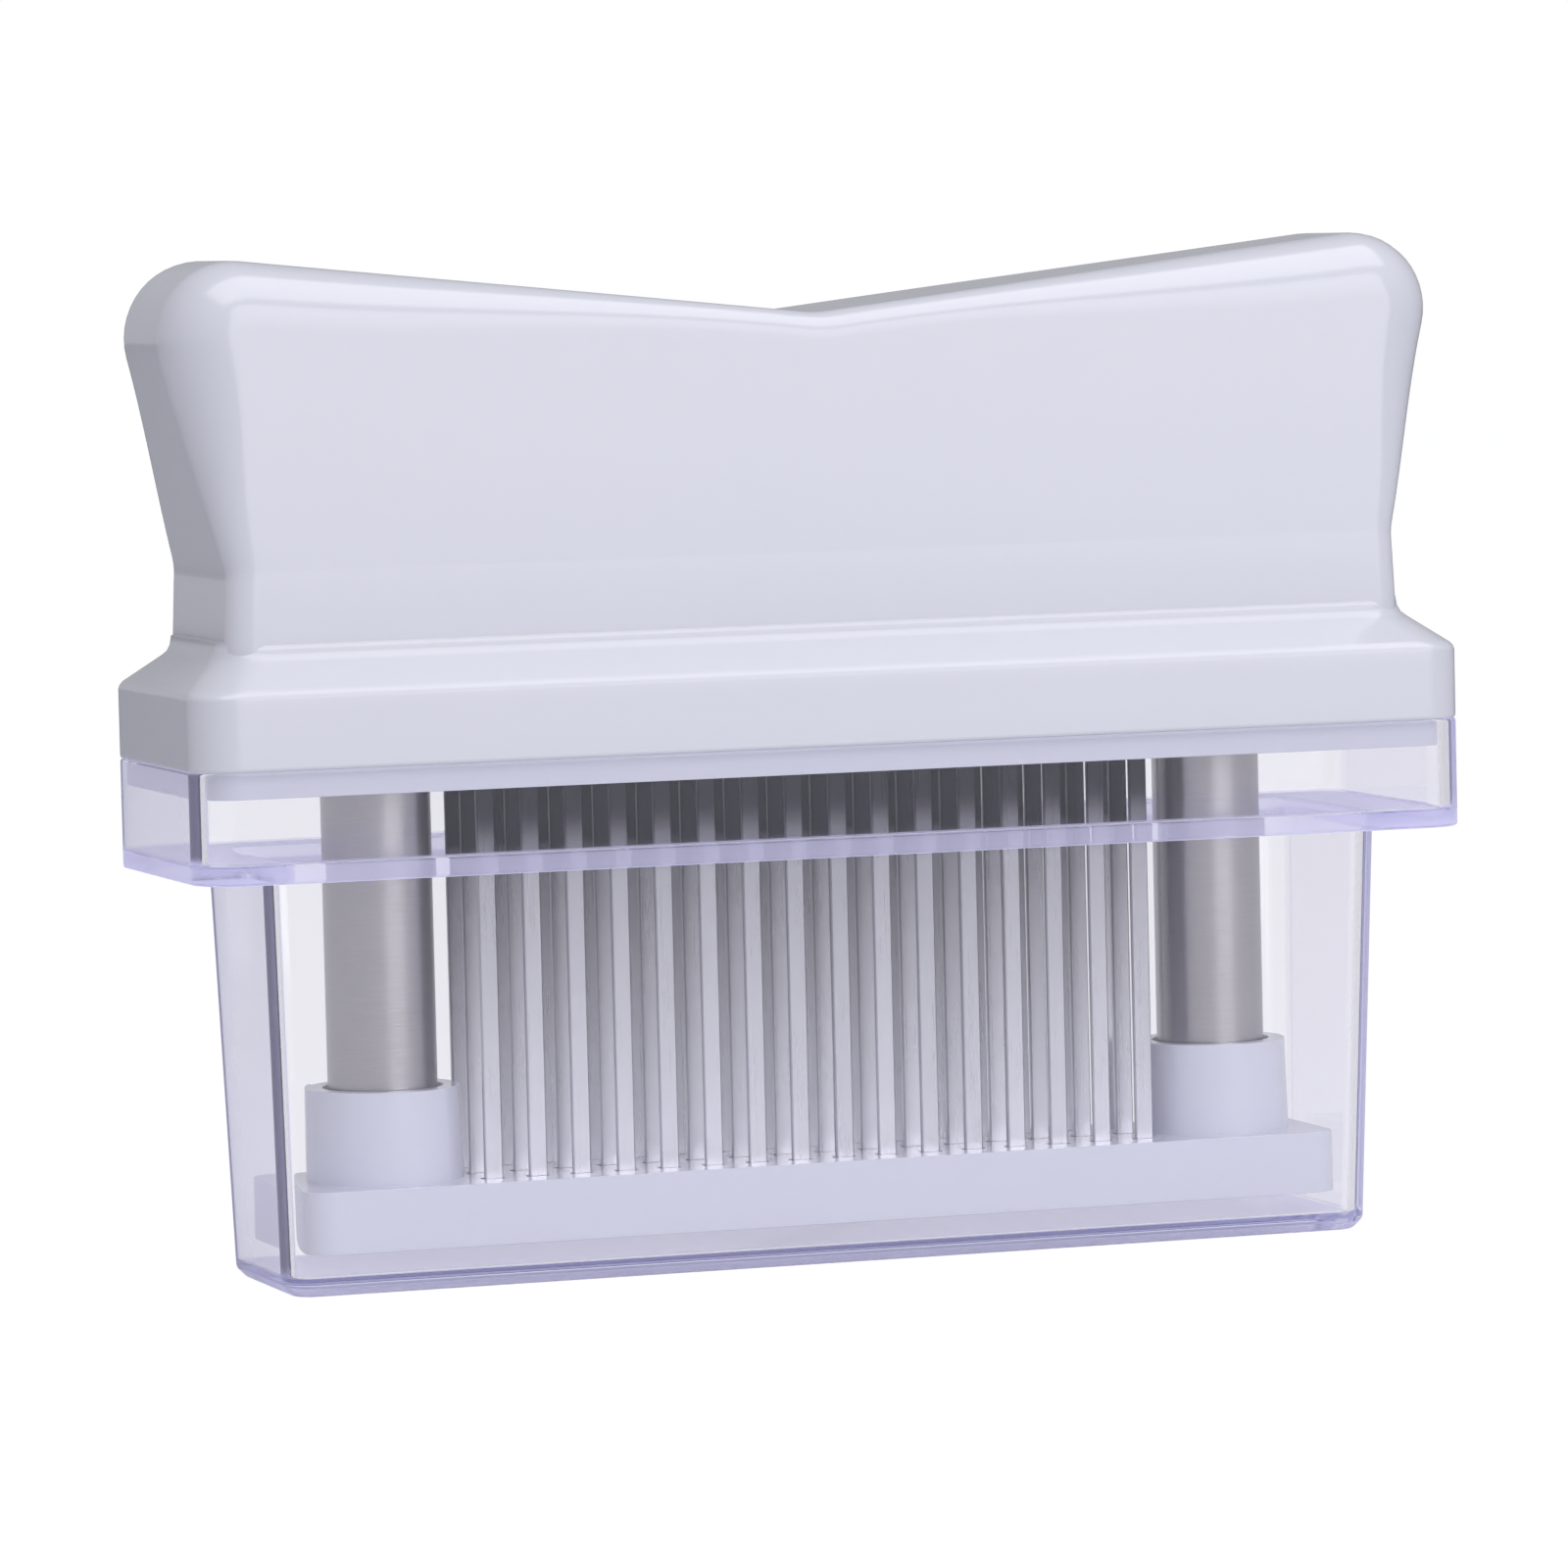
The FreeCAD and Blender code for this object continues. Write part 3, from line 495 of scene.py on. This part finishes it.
# %% Knives by Geometry Nodes
def strip(form):
    """One knife: broken long edges, slanted tip, top inside the knife plate."""
    half_width, half_thick, broken = 1.0, 0.35, 0.13
    tip_height, tip_slant, top_height = 7.4, 0.8, 61.8
    outline = [(-half_width + broken, -half_thick), (half_width - broken, -half_thick),
               (half_width, -half_thick + broken), (half_width, half_thick - broken),
               (half_width - broken, half_thick), (-half_width + broken, half_thick),
               (-half_width, half_thick - broken), (-half_width, -half_thick + broken)]
    tip = [form.verts.new((x * MM, y * MM, (tip_height - tip_slant * x) * MM)) for x, y in outline]
    top = [form.verts.new((x * MM, y * MM, top_height * MM)) for x, y in outline]
    skin(form, [tip, top])
    form.faces.new(reversed(tip))
    form.faces.new(top)


def grid_tree(material):
    """Instances the incoming mesh on a grid of points, each with a small turn and a number."""
    tree = bpy.data.node_groups.new("knife_grid", "GeometryNodeTree")
    tree.interface.new_socket("Strip", in_out="INPUT", socket_type="NodeSocketGeometry")
    for name, default in (("Columns", 16), ("Rows", 3)):
        tree.interface.new_socket(name, in_out="INPUT", socket_type="NodeSocketInt").default_value = default
    for name in ("Length", "Depth", "Play", "Turn"):
        tree.interface.new_socket(name, in_out="INPUT", socket_type="NodeSocketFloat")
    tree.interface.new_socket("Knives", in_out="OUTPUT", socket_type="NodeSocketGeometry")
    entry = tree.nodes.new("NodeGroupInput")
    leave = tree.nodes.new("NodeGroupOutput")

    def node(kind, links, **settings):
        made = tree.nodes.new(kind)
        for key, setting in settings.items():
            setattr(made, key, setting)
        for key, source in links.items():
            if isinstance(source, bpy.types.NodeSocket):
                tree.links.new(source, made.inputs[key])
            else:
                made.inputs[key].default_value = source
        return made

    grid = node("GeometryNodeMeshGrid", {"Size X": entry.outputs["Length"], "Size Y": entry.outputs["Depth"],
                                         "Vertices X": entry.outputs["Columns"],
                                         "Vertices Y": entry.outputs["Rows"]})
    less_play = node("ShaderNodeMath", {0: entry.outputs["Play"], 1: -1.0}, operation="MULTIPLY")
    play = node("FunctionNodeRandomValue", {2: less_play.outputs[0], 3: entry.outputs["Play"], "Seed": 3})
    shift = node("ShaderNodeCombineXYZ", {"X": play.outputs[1]})
    moved = node("GeometryNodeSetPosition", {"Geometry": grid.outputs["Mesh"], "Offset": shift.outputs[0]})
    less_turn = node("ShaderNodeMath", {0: entry.outputs["Turn"], 1: -1.0}, operation="MULTIPLY")
    turn = node("FunctionNodeRandomValue", {2: less_turn.outputs[0], 3: entry.outputs["Turn"], "Seed": 11})
    about_z = node("ShaderNodeCombineXYZ", {"Z": turn.outputs[1]})
    placed = node("GeometryNodeInstanceOnPoints", {
        "Points": moved.outputs[0], "Instance": entry.outputs["Strip"], "Rotation": about_z.outputs[0]})
    shade = node("FunctionNodeRandomValue", {2: 0.0, 3: 1.0, "Seed": 5})
    numbered = node("GeometryNodeStoreNamedAttribute", {"Geometry": placed.outputs[0], "Name": "shade",
                                                        "Value": shade.outputs[1]}, domain="INSTANCE")
    real = node("GeometryNodeRealizeInstances", {"Geometry": numbered.outputs[0]})
    dressed = node("GeometryNodeSetMaterial", {"Geometry": real.outputs[0], "Material": material})
    tree.links.new(dressed.outputs[0], leave.inputs["Knives"])
    return tree


KNIVES = mesh_piece("knives", [strip], KNIFE, sharp_degrees=30)
growth = KNIVES.modifiers.new("grid", "NODES")
growth.node_group = grid_tree(KNIFE)
settings = {"Columns": 16, "Rows": 3, "Length": 75.9 * MM, "Depth": 11.92 * MM, "Play": 0.05 * MM,
            "Turn": math.radians(1.5)}
for item in growth.node_group.interface.items_tree:
    if item.in_out == "INPUT" and item.name in settings:
        growth[item.identifier] = settings[item.name]
bank = bpy.data.meshes.new_from_object(KNIVES.evaluated_get(bpy.context.evaluated_depsgraph_get()))
KNIVES.modifiers.clear()
KNIVES.data = bank
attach(KNIVES, "handle")
rows = "knife_front", "knife_middle", "knife_rear"
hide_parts(*[node for node in frame["nodes"] if node.startswith(rows)])
print("knives", len(bank.vertices) // 16)

# %% [markdown]
# Each spring stands between the handle and its boss, and it shortens as the foot rises. Its copy is
# joined, finished in bright wire and hung on the handle as it is.


def coil(side):
    """Stands for one spring; gives its length at rest in millimetres."""
    node = side + "_spring"
    piece = merged_copy(node, side + "_coil", WIRE)
    piece.data.set_sharp_from_angle(angle=math.radians(40))
    bottom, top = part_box(node)
    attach(piece, "handle")
    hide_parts(node)
    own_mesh(piece)
    return round((top[2] - bottom[2]) / MM, 1)


print("springs", coil("left"), coil("right"), "mm long at rest")

# %% [markdown]
# The columns, the stop rings, the screws and the clamp bar keep their exact solids and only get a finish.

# %% Finishes on the solids
def finish_of(node):
    """The material of a solid, by its node's name."""
    if node.startswith("knife_clamp"):
        return WHITE
    if node.startswith("knife_"):
        return KNIFE
    if node.endswith("_column"):
        return COLUMN
    return WIRE


for node, solid in frame["nodes"].items():
    for finish_slot in solid.material_slots:
        finish_slot.link = "OBJECT"
        finish_slot.material = finish_of(node)
print("solids finished", len(frame["nodes"]))

# %% [markdown]
# The photograph is a catalogue shot from a little above and to the left, with a long lens and the camera
# a touch out of level. The camera's place comes from an aim point, two angles, a roll and a distance.

# %% Camera
AZIMUTH = math.radians(18.63)
ELEVATION = math.radians(3.85)
ROLL = math.radians(-1.37)
DISTANCE = 938.5 * MM
AIM_HEIGHT = 52.2 * MM
AIM_ALONG = -1.2 * MM
FOCAL_PIXELS = 8644.0
IMAGE_PIXELS = 1600.0

back = Vector((-math.sin(AZIMUTH) * math.cos(ELEVATION), -math.cos(AZIMUTH) * math.cos(ELEVATION),
               math.sin(ELEVATION)))
level = Vector((math.cos(AZIMUTH), -math.sin(AZIMUTH), 0))
upward = back.cross(level)
right = level * math.cos(ROLL) + upward * math.sin(ROLL)
up = upward * math.cos(ROLL) - level * math.sin(ROLL)
camera_data = bpy.data.cameras.new("camera")
camera_data.sensor_width = 36.0
camera_data.lens = camera_data.sensor_width * FOCAL_PIXELS / IMAGE_PIXELS
camera_data.clip_start = 0.01
camera = linked("camera", camera_data)
spot = back * DISTANCE + level * AIM_ALONG + Vector((0, 0, AIM_HEIGHT))
camera.matrix_world = Matrix.Translation(spot) @ Matrix((right, up, back)).transposed().to_4x4()
bpy.context.scene.camera = camera
print("lens", round(camera_data.lens, 1), "mm")

# %% [markdown]
# White paper under the tool and a white world behind it give the plain ground. Light Path lets the
# camera, and what the glass shows, see pure white; in reflections the paper is painted grey and the
# world is a soft room, while the light on the tool stays soft and low.

# %% Floor, world and lamps
def floor():
    """Paper for the light, pure white for the camera, and painted grey in reflections."""
    tree = Tree(bpy.data.materials.new("white_paper"))
    grain = tree.noise(400, detail=3)
    lit = tree.blend(grain, (0.88, 0.88, 0.89, 1), (0.92, 0.92, 0.93, 1))
    glossy = tree.light_path("Is Glossy Ray")[0]
    # painted reflection: in glossy rays the paper turns grey, which darkens what the steel mirrors
    paper = tree.add("ShaderNodeBsdfDiffuse", inputs={"Color": tree.blend(glossy, lit, (0.42, 0.42, 0.45, 1))})
    faint = tree.add("ShaderNodeBsdfDiffuse", inputs={"Color": (0.12, 0.12, 0.12, 1)})
    glow = tree.add("ShaderNodeEmission", inputs={"Color": (1, 1, 1, 1), "Strength": 0.95})
    white = tree.add("ShaderNodeAddShader", inputs=[faint, glow])
    shader = tree.add("ShaderNodeMixShader", inputs=[tree.seen_plainly(), paper, white])
    mesh = bpy.data.meshes.new("floor")
    reach, level_under = 3.0, -0.2 * MM
    signs = (-1, -1), (1, -1), (1, 1), (-1, 1)
    mesh.from_pydata([(x * reach, y * reach, level_under) for x, y in signs], [], [(0, 1, 2, 3)])
    mesh.materials.append(tree.finish(shader))
    linked("floor", mesh)


def world():
    """Pure white where it is looked at; a soft grey room, darker on the left, for light and reflections."""
    tree = Tree(bpy.data.worlds.new("white_room"))
    way = tree.add("ShaderNodeTexCoord", output=0)
    along = tree.value("ShaderNodeSeparateXYZ", inputs=[way])
    sides = [tree.add("ShaderNodeBackground", inputs={"Color": (0.95, 0.96, 1.0, 1), "Strength": strength})
             for strength in (0.54, 0.24)]
    room = tree.add("ShaderNodeMixShader", inputs=[along * 0.5 + 0.5, *sides])
    plain = tree.add("ShaderNodeBackground", inputs={"Color": (1, 1, 1, 1), "Strength": 1.0})
    shader = tree.add("ShaderNodeMixShader", inputs=[tree.seen_plainly(), room, plain])
    bpy.context.scene.world = tree.finish(shader)


def lamp(name, place, aim, size, watts):
    """A rectangular softbox that faces the aim."""
    data = bpy.data.lights.new(name, "AREA")
    data.shape = "RECTANGLE"
    data.size, data.size_y = size
    data.energy = watts
    light = linked(name, data)
    light.location = place
    light.rotation_mode = "QUATERNION"
    light.rotation_quaternion = (Vector(place) - Vector(aim)).to_track_quat("Z", "Y")


floor()
world()
middle = (0, 0, 0.06)
lamp("top_softbox", (0.1, -0.25, 0.9), middle, (1.1, 0.7), 4.7)
lamp("front_softbox", (0.35, -1.1, 0.45), middle, (0.9, 0.9), 4.45)
bpy.context.scene.view_settings.view_transform = "Standard"
